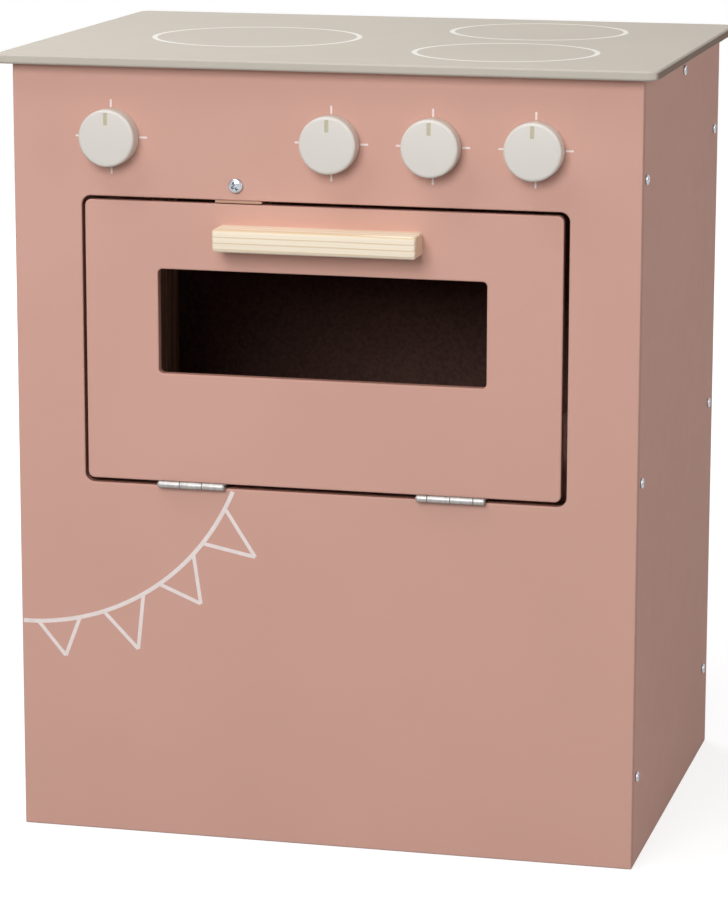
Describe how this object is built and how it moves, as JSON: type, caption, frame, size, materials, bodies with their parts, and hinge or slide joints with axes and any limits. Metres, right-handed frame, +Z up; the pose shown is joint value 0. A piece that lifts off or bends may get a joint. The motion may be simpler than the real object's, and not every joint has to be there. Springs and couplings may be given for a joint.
{
  "type": "play kitchen",
  "caption": "Toy stove of painted board with a hob top, turning knobs and an oven behind a windowed drop-down door.",
  "frame": {"origin": "on the floor, under the middle of the whole outline", "axes": "+X to the cabinet's right seen from the front, -Y towards the front with door and knobs, +Z up"},
  "size_m": [0.42, 0.325, 0.502],
  "materials": {
    "pink_board": "smooth board painted matt dusty pink",
    "cream_board": "smooth board painted satin cream",
    "cream_knob": "turned wood painted satin cream",
    "pine": "planed pine, unfinished",
    "handle_pine": "sanded pale pine, clear oil",
    "zinc_steel": "bright zinc",
    "nickel_hinge": "bright nickel plate"
  },
  "bodies": {
    "cabinet": {"front_panel": "pink_board", "back_panel": "pink_board", "countertop": "cream_board", "oven_floor": "pink_board", "sill_rail": "pine", "back_panel_screws": "zinc_steel", "countertop_screws": "zinc_steel", "left_side_panel": "pink_board", "right_side_panel": "pink_board", "left_front_batten": "pine", "right_front_batten": "pine", "left_back_batten": "pine", "right_back_batten": "pine", "left_top_cleat": "pine", "right_top_cleat": "pine", "left_floor_cleat": "pine", "right_floor_cleat": "pine", "left_side_screws": "zinc_steel", "right_side_screws": "zinc_steel", "catch_block": "pink_board", "catch_magnet": "zinc_steel", "catch_screw": "zinc_steel", "left_hinge_lower_leaf": "nickel_hinge", "right_hinge_lower_leaf": "nickel_hinge", "left_hinge_pin": "nickel_hinge", "right_hinge_pin": "nickel_hinge", "lower_leaf_screws": "zinc_steel"},
    "door": {"door_panel": "pink_board", "door_rail": "pine", "door_handle": "handle_pine", "handle_screws": "zinc_steel", "strike_plate": "zinc_steel", "left_hinge_upper_leaf": "nickel_hinge", "right_hinge_upper_leaf": "nickel_hinge", "upper_leaf_screws": "zinc_steel"},
    "knob_1": {"knob_1": "cream_knob", "knob_1_screw": "zinc_steel"},
    "knob_2": {"knob_2": "cream_knob", "knob_2_screw": "zinc_steel"},
    "knob_3": {"knob_3": "cream_knob", "knob_3_screw": "zinc_steel"},
    "knob_4": {"knob_4": "cream_knob", "knob_4_screw": "zinc_steel"}
  },
  "joints": [
    {"name": "door_hinge", "type": "hinge", "parent": "cabinet", "child": "door", "pos_m": [0, -0.1453, 0.2317], "axis": [1, 0, 0], "range_deg": [0, 174]},
    {"name": "knob_1_turn", "type": "hinge", "parent": "cabinet", "child": "knob_1", "pos_m": [-0.1358, -0.1485, 0.4514], "axis": [0, -1, 0], "continuous": true},
    {"name": "knob_2_turn", "type": "hinge", "parent": "cabinet", "child": "knob_2", "pos_m": [0.006, -0.1485, 0.4514], "axis": [0, -1, 0], "continuous": true},
    {"name": "knob_3_turn", "type": "hinge", "parent": "cabinet", "child": "knob_3", "pos_m": [0.0701, -0.1485, 0.4514], "axis": [0, -1, 0], "continuous": true},
    {"name": "knob_4_turn", "type": "hinge", "parent": "cabinet", "child": "knob_4", "pos_m": [0.1342, -0.1485, 0.4514], "axis": [0, -1, 0], "continuous": true}
  ]
}
